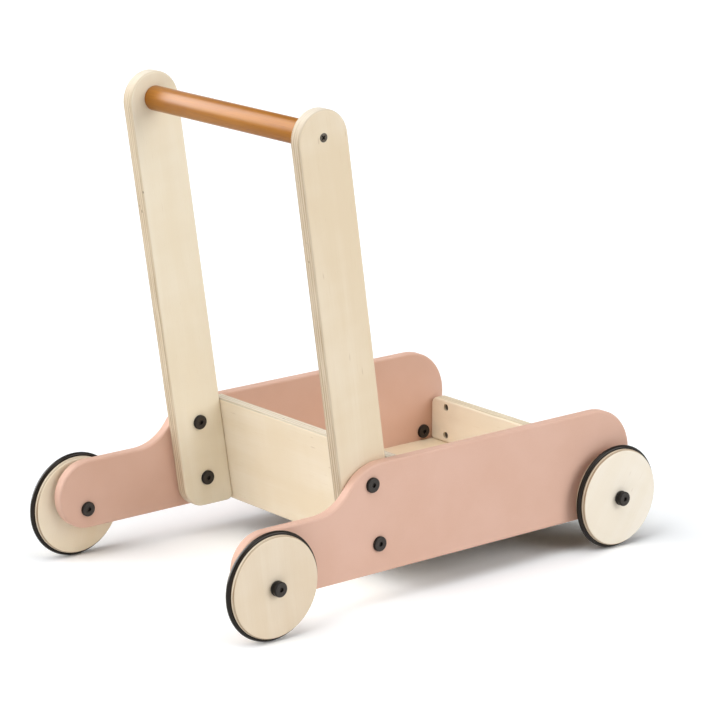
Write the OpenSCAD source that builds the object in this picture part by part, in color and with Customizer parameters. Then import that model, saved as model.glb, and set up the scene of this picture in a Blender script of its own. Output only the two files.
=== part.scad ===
// Baby push walker: a plywood tray on four wheels, with two leaning posts and a push bar.
// X points forward, Y to the child's left and Z up. The origin lies on the ground, midway between the axles.

/* [Overall] */
// Distance between the rear and front axles
wheel_base = 415; // [340:1:480]
// Clear width between the two side panels
tray_w = 260; // [200:1:320]

/* [Plywood] */
// Thickness of the posts, rear panel and front panel
ply_t = 13; // [11:0.5:16]
// Thickness of the side panels
side_t = 10.5; // [9:0.5:16]
// Thickness of the tray floor
floor_t = 10; // [8:0.5:12]
// Radius rounded over the plywood edges
edge_r = 2; // [0.5:0.25:3]

/* [Side panels] */
// Height of a side panel at the tray
panel_h = 103.7; // [90:0.1:130]
// Height of the axles above the panels' bottom edge
axle_up = 19; // [14:0.5:24]
// Radius of the round tail
tail_r = 32.75; // [26:0.25:36]
// Reach of the tail behind the rear axle
tail_back = 30.75; // [24:0.25:40]
// Length of the low tail from the rear axle to the sweep
tail_l = 59.2; // [40:0.1:80]
// Radius of the two arcs of the sweep
sweep_r = 46.5; // [20:0.5:50]
// Radius of the nose's upper corner
nose_r = 46; // [30:1:60]
// Radius of the nose's lower corner
chin_r = 12; // [6:1:36]
// Reach of the nose ahead of the front axle
nose_l = 26.7; // [25:0.1:45]

/* [Handle] */
// Width of a post
post_w = 54; // [40:0.2:60]
// Backward lean of the posts and the rear panel, in degrees
post_lean = 8.55; // [2:0.05:14]
// Distance of the posts' axis ahead of the rear axle, at the panels' top edge
post_at = 118.9; // [108:0.1:150]
// Radius of a post's rear bottom corner
heel_r = 23; // [4:0.5:24]
// Radius of a post's front bottom corner
toe_r = 6; // [3:0.5:14]
// Height of the push bar's axis above the ground
bar_h = 434; // [360:1:520]
// Distance of the push bar's axis above the centre of the posts' round tops, along the post
bar_off = 2.3; // [0:0.1:6]
// Diameter of the push bar
bar_d = 23; // [18:0.5:32]

/* [Tray] */
// Height of the front panel above the floor
front_h = 44.6; // [40:0.2:60]
// Distance of the front panel's rear face ahead of the front axle
front_at = 11; // [9:0.5:16]
// Radius of the front panel's upper corners
front_r = 8; // [3:0.5:16]
// Radius of the front panel's lower corners
front_foot_r = 3; // [2.5:0.5:8]
// Distance of the cross holes from the front panel's ends
cross_in = 22.4; // [16:0.2:30]
// Distance between the upper and lower cross holes
cross_pitch = 29.4; // [20:0.2:32]

/* [Wheels] */
// Diameter over the tyre
wheel_d = 100; // [84:1:116]
// Thickness of the plywood disc
disc_t = 13; // [9:0.5:14]
// Radius rounded over the disc's edges
disc_edge_r = 2.5; // [0.5:0.25:3]
// Thickness of the tyre's round cord
tyre_t = 5; // [4:0.25:6]
// Height of the tyre above the disc's rim
tyre_proud = 3.2; // [2:0.1:3.5]
// Outer diameter of the bush in the disc
bush_d = 12; // [11:0.5:16]

/* [Axles] */
// Outer diameter of the sleeve that the wheel turns on
axle_d = 9; // [8:0.25:10]
// Length of the axle bolt's shank
axle_bolt_l = 24; // [16:1:28]
// Thickness of the axle bolt's head
hub_head_t = 3.5; // [3:0.25:6]
// Diameter of the washer between side panel and wheel
washer_d = 16; // [13:0.5:24]
// Thickness of the washer between side panel and wheel
washer_t = 3.8; // [1:0.1:5]
// Diameter of the collar outside the wheel
collar_d = 14.2; // [11:0.2:18]
// Thickness of the collar outside the wheel
collar_t = 3.2; // [1.5:0.1:6]
// Diameter of the collar's neck under the bolt's head
neck_d = 11.6; // [10.6:0.2:14]
// Thickness of the collar's neck
neck_t = 0.9; // [0.5:0.1:1.4]

/* [Bolts and nuts] */
// Diameter of the flat heads
head_d = 14; // [12:0.5:18]
// Thickness of the flat heads
head_t = 2.6; // [2.4:0.1:4]
// Radius rounded over the heads' rims
head_edge_r = 0.9; // [0.3:0.1:1.2]
// Size of the hex sockets across flats
socket_w = 4; // [3:0.5:5]
// Depth of the hex sockets
socket_depth = 1.9; // [1:0.1:2]
// Diameter of the bolts' shanks
shank_d = 6; // [5:0.25:6.5]
// Outer diameter of the sleeve nuts in the posts
sleeve_d = 8; // [7.5:0.25:10]
// Depth to which a sleeve nut reaches into the side panel
sleeve_in = 6; // [2:0.5:9]
// Distance of the upper post bolt below the panels' top edge, along the post
bolt_down = 19.2; // [14:0.2:26]
// Distance between the two bolts of a post
bolt_pitch = 57.4; // [40:0.2:60]

/* [Screws and dowels] */
// Diameter of the bar screws' and front panel bolts' heads
sunk_head_d = 8.4; // [7:0.2:10]
// Diameter of the bar screws' and front panel bolts' shanks
sunk_shank_d = 4; // [3:0.25:5]
// Length of a bar screw
bar_screw_l = 40; // [28:1:60]
// Diameter of the cross nuts in the front panel
cross_nut_d = 7; // [5.5:0.25:9]
// Length of the cross nuts
cross_nut_l = 8; // [6:0.5:10]
// Diameter of the dowels
dowel_d = 5; // [3:0.25:6]
// Length of a dowel in the post or floor
dowel_long = 14; // [8:1:18]
// Length of a dowel in the rear panel or side panel
dowel_short = 8; // [4:0.5:9]

/* [Fits] */
// Radial clearance of the wheels on their axle sleeves
run_fit = 0.06; // [0.02:0.01:0.1]
// Clearance of fixed bolts, nuts, bushes and dowels in their holes
set_fit = 0.05; // [0.02:0.01:0.2]
// Side play of a wheel on each face
side_play = 0.3; // [0.2:0.05:0.6]

/* [Hidden] */
$fn = 96;
hex_sides = 6;
// Length by which a cutter stands clear of the face that it cuts
overcut = 1;
// Width and depth of the driver slots and crosses in small fasteners
slot_w = 1;
slot_depth = 1.6;
cross_reach = 5;
// Length of the bar screws' points
screw_point = 5;
// Spare depth at the end of a blind hole
blind_spare = 1;
// Overlap of neighbouring cuts, too small to measure
hair = 0.000004;
// Distance by which the circles of the posts' heel and toe reach past the edges that they round
corner_proud = 0.02;

rear_x = -wheel_base / 2;
front_x = wheel_base / 2;
axle_z = wheel_d / 2;
foot_z = axle_z - axle_up;
top_z = foot_z + panel_h;
floor_z = foot_z + floor_t;
inner_y = tray_w / 2;
outer_y = inner_y + side_t;
post_x = rear_x + post_at;

// The sweep: two arcs of opposite turn and a short straight line between them, which climbs 4 in 3
climb_sin = 0.8;
climb_cos = 0.6;
sweep_rise = panel_h - 2 * tail_r;
sweep_arc_r = min(sweep_r, 0.49 * sweep_rise / (1 - climb_cos));
sweep_straight = (sweep_rise - 2 * sweep_arc_r * (1 - climb_cos)) / climb_sin;
sweep_l = 2 * sweep_arc_r * climb_sin + sweep_straight * climb_cos;
nose_x = front_x + nose_l;
nose_top_r = min(nose_r, panel_h - chin_r);

// The posts' own frame has its origin on their axis at the panels' top edge, with Z along the axis
bar_up = fine((bar_h - top_z) / cos(post_lean));
post_edge = post_w / 2;
rear_face = post_edge + ply_t;
// The rear panel's dowels lie in two rows, at these shares of its height below the top edge
dowel_rows = [for (share = [0.35, 0.65]) -share * panel_h];

front_panel_x = front_x + front_at;
front_bolt_x = front_panel_x + ply_t / 2;
cross_y = inner_y - cross_in;
cross_z = [for (s = [-1, 1]) floor_z + front_h / 2 + s * cross_pitch / 2];
front_bolt_l = side_t + cross_in + cross_nut_d;
cross_hole_depth = (ply_t + cross_nut_l) / 2;

// The wheel on its axle, measured outwards from the side panel's outer face
disc_in = washer_t + side_play;
collar_in = disc_in + disc_t + side_play;
hub_in = collar_in + collar_t;
axle_l = side_t + hub_in;
disc_r = wheel_d / 2 - tyre_proud;
tyre_ring_r = (wheel_d - tyre_t) / 2;

// Every corner circle is [x, y, radius], listed anticlockwise. A negative radius turns the corner inwards.
panel_corners = [
    [nose_x - chin_r, chin_r, chin_r],
    [nose_x - nose_top_r, panel_h - nose_top_r, nose_top_r],
    [rear_x + tail_l + sweep_l, panel_h - sweep_arc_r, sweep_arc_r],
    [rear_x + tail_l, 2 * tail_r + sweep_arc_r, -sweep_arc_r],
    [rear_x - tail_back + tail_r, tail_r, tail_r]
];
// The posts' blank reaches below their foot, which is cut level
post_corners = [
    [0, bar_up - bar_off, post_edge],
    [toe_r - post_edge, -panel_h - post_edge, toe_r],
    [post_edge - toe_r, -panel_h - post_edge, toe_r]
];
// Direction that the level foot faces, in the posts' own plane
foot_way = 270 - post_lean;
post_heel = lean_circle(heel_r - post_edge - corner_proud, heel_r - panel_h - corner_proud, heel_r);
post_toe = lean_circle(post_edge - toe_r + corner_proud, toe_r - panel_h - corner_proud, toe_r);
rear_panel_corners = [
    lean_circle(post_edge + edge_r, edge_r - panel_h, edge_r),
    lean_circle(rear_face - edge_r, edge_r - panel_h, edge_r),
    lean_circle(rear_face - edge_r, -edge_r, edge_r),
    lean_circle(post_edge + edge_r, -edge_r, edge_r)
];
front_panel_corners = [
    [front_foot_r - inner_y, front_foot_r, front_foot_r],
    [inner_y - front_foot_r, front_foot_r, front_foot_r],
    [inner_y - front_r, front_h - front_r, front_r],
    [front_r - inner_y, front_h - front_r, front_r]
];

corners = [
    ["rear_left", rear_x, 1],
    ["rear_right", rear_x, -1],
    ["front_left", front_x, 1],
    ["front_right", front_x, -1]
];
corner_parts = [
    "axle_sleeve", "spacer_washer", "wheel_disc", "wheel_bush", "wheel_tyre", "hub_collar", "axle_bolt"
];

// A length to the nearest thousandth
function fine(l) = round(l * 1000) / 1000;

// A corner circle in the posts' frame, at a height that is measured upright from the panels' top edge
function lean_circle(x, up, r) = [x, fine((up - x * sin(post_lean)) / cos(post_lean)), r];

// Direction that faces outwards from the straight edge between two corner circles
function facing(a, b) =
    atan2(b.y - a.y, b.x - a.x) - acos((a[2] - b[2]) / norm([b.x - a.x, b.y - a.y]));

// Point of a corner circle where an edge that faces this way touches it, or that point at twice the radius
function touch(c, way, times = 1) = [c.x + times * c[2] * cos(way), c.y + times * c[2] * sin(way)];

// The line through a corner circle's centre that an edge starts or ends on, moved along the edge
function in_to_out(c, way, by) =
    let(move = by * [-sin(way), cos(way)], line = [[c.x, c.y] + move, touch(c, way, 2) + move])
    c[2] > 0 ? line : [line[1], line[0]];

// Angle that the outline turns through at a corner circle
function turning(c, before, after) =
    c[2] > 0 ? (after - before + 720) % 360 : (before - after + 720) % 360;

function facings(cs) = [for (i = [0 : len(cs) - 1]) facing(cs[i], cs[(i + 1) % len(cs)])];

// The part of a corner circle beyond the chord from p to q
module round_cap(c, p, q) {
    r = abs(c[2]);
    chord = q - p;
    outside = c[2] > 0 ? overcut - 2 * r : -overcut;
    intersection() {
        translate([c.x, c.y]) circle(r = r);
        translate((p + q) / 2)
            rotate(atan2(chord.y, chord.x))
                translate([-r, outside])
                    square([2 * r, 2 * r]);
    }
}

// Flat outline with true arcs around its corner circles
module outline(cs) {
    n = len(cs);
    way = facings(cs);
    starts = [for (i = [0 : n - 1]) touch(cs[i], way[(i + n - 1) % n])];
    ends = [for (i = [0 : n - 1]) touch(cs[i], way[i])];
    difference() {
        union() {
            polygon([for (i = [0 : n - 1]) each [starts[i], ends[i]]]);
            for (i = [0 : n - 1])
                if (cs[i][2] > 0) round_cap(cs[i], starts[i], ends[i]);
        }
        for (i = [0 : n - 1])
            if (cs[i][2] < 0) round_cap(cs[i], starts[i], ends[i]);
    }
}

// Section of what is cut off both corners of a plate's edge, with the edge at x = 0 and the plate on its left
module edge_section(t, proud = 0) {
    for (side = [0, 1])
        translate([0, side * t])
            mirror([0, side])
                difference() {
                    translate([-edge_r, -overcut]) square(edge_r + overcut);
                    translate([-edge_r, edge_r]) circle(r = edge_r + proud);
                }
}

// Section of all that lies beyond a plate's rounded edge
module beyond_edge(t, reach) {
    edge_section(t, corner_proud);
    translate([0, -overcut]) square([reach, t + 2 * overcut]);
}

// Area around a corner circle that starts at one direction and turns through an angle of up to 180 degrees
function sector(c, from, angle) = [[c.x, c.y], for (k = [0 : 3]) touch(c, from + k * angle / 3, 2)];

// What is cut off to round the edges of a plate with this outline.
// Neighbouring cuts meet on lines through the centres of the corner circles.
module edge_rounding(cs, t) {
    n = len(cs);
    way = facings(cs);
    for (i = [0 : n - 1]) {
        c = cs[i];
        next = cs[(i + 1) % n];
        before = way[(i + n - 1) % n];
        turn = sign(c[2]) * turning(c, before, way[i]);
        straight = norm(touch(next, way[i]) - touch(c, way[i]));
        within(t, sector(c, before, turn))
            translate([c.x, c.y])
                rotate_extrude()
                    translate([abs(c[2]), 0])
                        mirror([c[2] < 0 ? 1 : 0, 0])
                            edge_section(t);
        start = in_to_out(c, way[i], -hair);
        end = in_to_out(next, way[i], hair);
        within(t, [start[0], start[1], end[1], end[0]])
            translate([next.x, next.y])
                rotate(way[i])
                    translate([next[2], overcut])
                        rotate([90, 0, 0])
                            linear_extrude(straight + 2 * overcut)
                                edge_section(t);
    }
}

// Keeps what lies over an area of the plate
module within(t, area) {
    intersection() {
        children();
        translate([0, 0, -overcut]) linear_extrude(t + 2 * overcut) polygon(area);
    }
}

// Flat board with rounded edges, its outline in XY and its thickness along Z
module board(cs, t) {
    difference() {
        linear_extrude(t) outline(cs);
        edge_rounding(cs, t);
    }
}

// Stands a shape drawn in XY upright in XZ, with its far face at y
module upright(y) {
    translate([0, y, 0]) rotate([90, 0, 0]) children();
}

// Turns a shape drawn along Z to point to the left, starting at y
module leftward(y) {
    translate([0, y, 0]) rotate([-90, 0, 0]) children();
}

module right_side() {
    mirror([0, 1, 0]) children();
}

module both_sides() {
    children();
    right_side() children();
}

module in_post_frame() {
    translate([post_x, 0, top_z]) rotate([0, -post_lean, 0]) children();
}

module at_post_bolts() {
    in_post_frame()
        for (s = [0, 1])
            translate([0, 0, -bolt_down - s * bolt_pitch]) children();
}

module at_front_bolts() {
    for (z = cross_z)
        translate([front_bolt_x, 0, z]) children();
}

// Dowels lie along the posts' forward axis, in the middle of each post's thickness
module at_rear_dowels() {
    in_post_frame()
        for (z = dowel_rows)
            translate([post_edge, inner_y - ply_t / 2, z]) rotate([0, 90, 0]) children();
}

// Dowels lie along Y in the middle of the floor's thickness, on the line of each side panel's inner face
module at_floor_dowels() {
    middle = (front_x + post_x) / 2;
    for (x = [(middle + post_x + rear_face) / 2, (middle + front_x) / 2])
        translate([x, 0, foot_z + floor_t / 2]) leftward(inner_y) children();
}

// Place of one wheel: [name, x, side]
module at_corner(c) {
    translate([c[1], 0, axle_z])
        if (c[2] > 0) children();
        else right_side() children();
}

module hex_socket(top) {
    translate([0, 0, top - socket_depth])
        cylinder(h = socket_depth + overcut, d = socket_w / cos(30), $fn = hex_sides);
}

// Flat round head that stands on z = 0
module flat_head(t) {
    difference() {
        rotate_extrude() {
            square([head_d / 2 - head_edge_r, t]);
            square([head_d / 2, t - head_edge_r]);
            translate([head_d / 2 - head_edge_r, t - head_edge_r]) circle(r = head_edge_r);
        }
        hex_socket(t);
    }
}

module headed_bolt(t, l) {
    flat_head(t);
    translate([0, 0, -l]) cylinder(h = l, d = shank_d);
}

// Headed sleeve with a bore for a bolt from its open end
module headed_sleeve(d, l) {
    difference() {
        union() {
            flat_head(head_t);
            translate([0, 0, -l]) cylinder(h = l, d = d);
        }
        translate([0, 0, -l - overcut]) cylinder(h = l + overcut, d = shank_d + 2 * set_fit);
    }
}

// Solid of a countersunk screw below its face at z = 0, grown by a clearance
module sunk_body(l, grow) {
    cone_h = (sunk_head_d - sunk_shank_d) / 2;
    translate([0, 0, -cone_h])
        cylinder(h = cone_h, d1 = sunk_shank_d + 2 * grow, d2 = sunk_head_d + 2 * grow);
    translate([0, 0, -l]) cylinder(h = l, d = sunk_shank_d + 2 * grow);
}

module cross_recess() {
    for (a = [0, 90])
        rotate(a)
            translate([-cross_reach / 2, -slot_w / 2, -slot_depth])
                cube([cross_reach, slot_w, slot_depth + overcut]);
}

module side_panel() {
    difference() {
        translate([0, 0, foot_z]) upright(outer_y) board(panel_corners, side_t);
        for (x = [rear_x, front_x])
            translate([x, 0, axle_z])
                leftward(inner_y - overcut)
                    cylinder(h = side_t + 2 * overcut, d = axle_d + 2 * set_fit);
        at_post_bolts()
            leftward(inner_y - overcut)
                cylinder(h = side_t + 2 * overcut, d = sleeve_d + 2 * set_fit);
        at_front_bolts()
            leftward(outer_y)
                sunk_body(side_t + overcut, set_fit);
        at_floor_dowels()
            translate([0, 0, -overcut])
                cylinder(h = overcut + dowel_short + set_fit, d = dowel_d + 2 * set_fit);
    }
}

module left_side_panel() {
    color("#c79384") side_panel();
}

module right_side_panel() {
    color("#c79384") right_side() side_panel();
}

// What is cut off between the level foot and a long edge of a post
module foot_corner(c, from, to) {
    within(ply_t, sector(c, from, to - from))
        translate([c.x, c.y])
            rotate_extrude()
                translate([c[2], 0])
                    beyond_edge(ply_t, c[2]);
}

module post() {
    difference() {
        in_post_frame() upright(inner_y) board(post_corners, ply_t);
        translate([post_x + 2 * post_w, inner_y, foot_z])
            rotate([0, 90, 180])
                linear_extrude(4 * post_w)
                    beyond_edge(ply_t, post_w);
        in_post_frame()
            upright(inner_y) {
                foot_corner(post_heel, 180, foot_way);
                foot_corner(post_toe, foot_way, 360);
            }
        at_post_bolts()
            leftward(inner_y - ply_t - overcut)
                cylinder(h = ply_t + 2 * overcut, d = sleeve_d + 2 * set_fit);
        in_post_frame()
            translate([0, 0, bar_up])
                leftward(inner_y)
                    sunk_body(ply_t + overcut, set_fit);
        at_rear_dowels()
            translate([0, 0, -dowel_long - set_fit])
                cylinder(h = dowel_long + set_fit + overcut, d = dowel_d + 2 * set_fit);
    }
}

module left_post() {
    color("#ead9bb") post();
}

module right_post() {
    color("#ead9bb") right_side() post();
}

module push_bar() {
    bar_l = tray_w - 2 * ply_t;
    hole_l = bar_screw_l - ply_t + blind_spare;
    color("#bd7b33")
        in_post_frame()
            translate([0, 0, bar_up])
                difference() {
                    leftward(-bar_l / 2) cylinder(h = bar_l, d = bar_d);
                    both_sides()
                        leftward(bar_l / 2 - hole_l)
                            cylinder(h = hole_l + overcut, d = sunk_shank_d + 2 * set_fit);
                }
}

module bar_screw() {
    shank_l = bar_screw_l - screw_point;
    difference() {
        sunk_body(shank_l, 0);
        cross_recess();
    }
    translate([0, 0, -bar_screw_l])
        cylinder(h = screw_point, d1 = slot_w, d2 = sunk_shank_d);
}

module bar_screws() {
    color("#2a2724")
        in_post_frame()
            translate([0, 0, bar_up])
                both_sides()
                    leftward(inner_y) bar_screw();
}

module rear_panel() {
    color("#e6d3b2")
        difference() {
            in_post_frame()
                upright(inner_y)
                    linear_extrude(tray_w) outline(rear_panel_corners);
            both_sides()
                at_rear_dowels()
                    translate([0, 0, -overcut])
                        cylinder(h = overcut + dowel_short + set_fit, d = dowel_d + 2 * set_fit);
        }
}

module front_panel() {
    bolt_hole_l = front_bolt_l - side_t + blind_spare;
    color("#e6d3b2")
        difference() {
            translate([front_panel_x, 0, floor_z]) rotate([90, 0, 90]) board(front_panel_corners, ply_t);
            both_sides() {
                at_front_bolts()
                    leftward(inner_y - bolt_hole_l)
                        cylinder(h = bolt_hole_l + overcut, d = sunk_shank_d + 2 * set_fit);
                for (z = cross_z)
                    translate([front_panel_x - overcut, cross_y, z])
                        rotate([0, 90, 0])
                            cylinder(h = overcut + cross_hole_depth, d = cross_nut_d + 2 * set_fit);
            }
        }
}

// The floor's rear edge is cut to the lean of the rear panel
module tray_floor() {
    floor_front = front_panel_x + ply_t;
    rear_top = post_x + (rear_face + (panel_h - floor_t) * sin(post_lean)) / cos(post_lean);
    rear_foot = post_x + (rear_face + panel_h * sin(post_lean)) / cos(post_lean);
    color("#e6d3b2")
        difference() {
            upright(inner_y)
                linear_extrude(tray_w) {
                    polygon([
                        [rear_foot, foot_z],
                        [floor_front - edge_r, foot_z],
                        [floor_front - edge_r, floor_z],
                        [rear_top, floor_z]
                    ]);
                    translate([floor_front - 2 * edge_r, foot_z + edge_r])
                        square([2 * edge_r, floor_t - 2 * edge_r]);
                    for (z = [foot_z + edge_r, floor_z - edge_r])
                        translate([floor_front - edge_r, z]) circle(r = edge_r);
                }
            both_sides()
                at_floor_dowels()
                    translate([0, 0, -dowel_long - set_fit])
                        cylinder(h = dowel_long + set_fit + overcut, d = dowel_d + 2 * set_fit);
        }
}

module dowel() {
    translate([0, 0, -dowel_long]) cylinder(h = dowel_long + dowel_short, d = dowel_d);
}

module rear_panel_dowels() {
    color("#dcbf91") both_sides() at_rear_dowels() dowel();
}

module floor_dowels() {
    color("#dcbf91") both_sides() at_floor_dowels() dowel();
}

module post_bolts() {
    at_post_bolts() leftward(outer_y) headed_bolt(head_t, side_t + ply_t - blind_spare);
}

module left_post_bolts() {
    color("#26262a") post_bolts();
}

module right_post_bolts() {
    color("#26262a") right_side() post_bolts();
}

module post_nuts() {
    at_post_bolts() upright(inner_y - ply_t) headed_sleeve(sleeve_d, ply_t + sleeve_in);
}

module left_post_nuts() {
    color("#26262a") post_nuts();
}

module right_post_nuts() {
    color("#26262a") right_side() post_nuts();
}

module front_panel_bolts() {
    color("#26262a")
        both_sides()
            at_front_bolts()
                leftward(outer_y)
                    difference() {
                        sunk_body(front_bolt_l, 0);
                        hex_socket(0);
                    }
}

module front_panel_nuts() {
    color("#4a443c")
        both_sides()
            for (z = cross_z)
                translate([front_bolt_x - cross_nut_l / 2, cross_y, z])
                    rotate([0, 90, 0])
                        difference() {
                            cylinder(h = cross_nut_l, d = cross_nut_d);
                            translate([0, cross_nut_d, cross_nut_l / 2])
                                rotate([90, 0, 0])
                                    cylinder(h = 2 * cross_nut_d, d = sunk_shank_d + 2 * set_fit);
                            translate([-cross_nut_d, -slot_w / 2, -overcut])
                                cube([2 * cross_nut_d, slot_w, overcut + slot_w]);
                        }
}

module axle_sleeve() {
    color("#26262a") upright(inner_y) headed_sleeve(axle_d, axle_l);
}

// Ring that lies around an axle, from a distance outside the side panel
module axle_ring(from, t, d, bore) {
    leftward(outer_y + from)
        difference() {
            cylinder(h = t, d = d);
            translate([0, 0, -overcut]) cylinder(h = t + 2 * overcut, d = bore);
        }
}

module spacer_washer() {
    color("#26262a") axle_ring(0, washer_t, washer_d, axle_d + 2 * set_fit);
}

module wheel_bush() {
    color("#3a3a3c") axle_ring(disc_in, disc_t, bush_d, axle_d + 2 * run_fit);
}

module hub_collar() {
    bore_r = axle_d / 2 + set_fit;
    color("#26262a")
        leftward(outer_y + collar_in)
            rotate_extrude() {
                translate([bore_r, 0]) square([collar_d / 2 - bore_r, collar_t - neck_t]);
                translate([bore_r, 0]) square([neck_d / 2 - bore_r, collar_t]);
            }
}

module wheel_disc() {
    bore_r = bush_d / 2 + set_fit;
    color("#ead9bb")
        leftward(outer_y + disc_in)
            rotate_extrude()
                difference() {
                    union() {
                        translate([bore_r, 0]) square([disc_r - disc_edge_r - bore_r, disc_t]);
                        translate([bore_r, disc_edge_r]) square([disc_r - bore_r, disc_t - 2 * disc_edge_r]);
                        for (y = [disc_edge_r, disc_t - disc_edge_r])
                            translate([disc_r - disc_edge_r, y]) circle(r = disc_edge_r);
                    }
                    translate([tyre_ring_r, disc_t / 2]) circle(d = tyre_t + 2 * set_fit);
                }
}

module wheel_tyre() {
    color("#1d1d1f")
        leftward(outer_y + disc_in + disc_t / 2)
            rotate_extrude()
                translate([tyre_ring_r, 0]) circle(d = tyre_t);
}

module axle_bolt() {
    color("#26262a") leftward(outer_y + hub_in) headed_bolt(hub_head_t, axle_bolt_l);
}

left_side_panel();
right_side_panel();
left_post();
right_post();
push_bar();
bar_screws();
rear_panel();
front_panel();
tray_floor();
rear_panel_dowels();
floor_dowels();
left_post_bolts();
right_post_bolts();
left_post_nuts();
right_post_nuts();
front_panel_bolts();
front_panel_nuts();
for (c = corners) {
    at_corner(c) axle_sleeve();
    at_corner(c) spacer_washer();
    at_corner(c) wheel_disc();
    at_corner(c) wheel_bush();
    at_corner(c) wheel_tyre();
    at_corner(c) hub_collar();
    at_corner(c) axle_bolt();
}
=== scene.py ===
"""Baby push walker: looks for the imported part, in metres.

X points forward, Y to the child's left and Z up.
"""

import math

import bmesh
import bpy
from mathutils import Matrix, Vector


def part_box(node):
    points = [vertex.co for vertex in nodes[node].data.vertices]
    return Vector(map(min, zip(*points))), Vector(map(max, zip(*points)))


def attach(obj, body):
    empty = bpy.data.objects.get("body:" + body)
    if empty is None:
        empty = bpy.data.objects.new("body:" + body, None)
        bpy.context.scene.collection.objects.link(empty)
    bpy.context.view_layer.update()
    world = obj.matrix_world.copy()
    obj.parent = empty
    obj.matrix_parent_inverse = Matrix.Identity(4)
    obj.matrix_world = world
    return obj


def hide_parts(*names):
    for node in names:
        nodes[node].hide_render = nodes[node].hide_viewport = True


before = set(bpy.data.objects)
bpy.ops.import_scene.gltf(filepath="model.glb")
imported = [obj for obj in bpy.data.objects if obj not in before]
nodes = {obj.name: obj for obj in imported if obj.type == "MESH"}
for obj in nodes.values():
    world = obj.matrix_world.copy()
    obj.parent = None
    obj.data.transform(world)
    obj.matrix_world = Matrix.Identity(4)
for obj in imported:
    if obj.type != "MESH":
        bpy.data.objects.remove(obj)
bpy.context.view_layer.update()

MM = 0.001
FULL_TURN = 2 * math.pi
QUARTER_TURN = math.pi / 2
AXIS_X, AXIS_Y, AXIS_Z = Vector((1, 0, 0)), Vector((0, 1, 0)), Vector((0, 0, 1))
SIDES = {"left": 1, "right": -1}
CORNERS = ("rear_left", "rear_right", "front_left", "front_right")

# Lean of the posts and the rear panel
POST_LEAN = math.radians(8.55)
POST_UP = Vector((-math.sin(POST_LEAN), 0, math.cos(POST_LEAN)))
POST_FORWARD = Vector((math.cos(POST_LEAN), 0, math.sin(POST_LEAN)))

# Boards, and what is sanded off the outer veneers of some of them
PLY_T = 13 * MM
PLY_LAYERS = 9
FLOOR_T = 10 * MM
FLOOR_LAYERS = 7
SANDED_OFF = 0.71 * MM

# Wheels
DISC_T = 13 * MM
DISC_LAYERS = 11
DISC_BANDING = 0.85
DISC_R = 46.8 * MM
DISC_BORE_R = 6.05 * MM
DISC_EDGE_R = 2.5 * MM
GROOVE_W = 5.1 * MM
GROOVE_BED_R = 44.95 * MM
GROOVE_ROUND = 1.6 * MM
TYRE_R = 2.5 * MM
TYRE_RING_R = 47.5 * MM
TYRE_STEPS = 40
MOULD_LINE = 0.08 * MM
WHEEL_STEPS = 144

# Bolts, sleeves and collars
HEAD_R = 7 * MM
HEAD_T = 2.6 * MM
HEAD_EDGE_R = 0.9 * MM
HUB_HEAD_T = 3.5 * MM
HUB_EDGE_R = 1.4 * MM
SOCKET_SIDES = 6
SOCKET_R = 2 * MM / math.cos(math.pi / SOCKET_SIDES)
SOCKET_DEPTH = 1.9 * MM
SOCKET_LIP = 0.25 * MM
SHANK_R = 3 * MM
SLEEVE_R = 4 * MM
AXLE_R = 4.5 * MM
AXLE_BOLT_L = 24 * MM
COLLAR_R = 7.1 * MM
COLLAR_EDGE_R = 0.5 * MM
COLLAR_FIT = 0.05 * MM
NECK_R = 5.8 * MM
NECK_T = 0.9 * MM
ROUND_STEPS = 48

# How far each socket is turned, in radians: upper and lower on the posts, then by corner,
# and the hub bolt on from its axle
BOLT_TURNS = (0.3, 0.8)
NUT_TURNS = (0.7, 1.1)
AXLE_TURNS = dict(zip(CORNERS, (0.0, 0.4, 0.8, 1.2)))
HUB_TURN = 0.6

# Bar screws and the push bar
SCREW_HEAD_R = 4.2 * MM
SCREW_EDGE_R = 0.3 * MM
SCREW_SHANK_R = 2 * MM
SCREW_L = 40 * MM
SCREW_TURNS = {"left": 0.3, "right": 0.75}
POINT_L = 5 * MM
POINT_TAPER = 0.25
CROSS_ARM = 1.3 * MM
CROSS_REACH = 5 * MM
CROSS_DEPTH = 1.9 * MM
CROSS_TAPER = 0.55
CROSS_CUTS = 3
BAR_R = 11.5 * MM
BAR_EDGE_R = 0.6 * MM
BAR_STEPS = 96

# Meshes: how near points are welded or count as the same, and from which angle an edge is sharp
WELD = 0.001 * MM
TOUCH = 0.01 * MM
SHARP_FROM = math.radians(35)

# Tones of the marks in the plywood; the end highlight, seam shade, edge shade and underside shade tones are
# painted light and shade
PORE_TONE = "#c9aa7d"
FLECK_TONE = "#a98a63"
END_HIGHLIGHT_TONE = "#f6efe2"
FIBRE_TONE = "#f0e6d2"
MOTTLE_TONE = "#9c8060"
FILLER_TONE = "#f3ead8"
GLUE_TONE = "#86694a"
GAP_TONE = "#54402c"
JOINT_SHADE_TONE = "#5f4830"
EDGE_SHADE_TONE = "#dedcd6"
UNDERSIDE_SHADE_TONE = "#b4b4bb"

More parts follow.
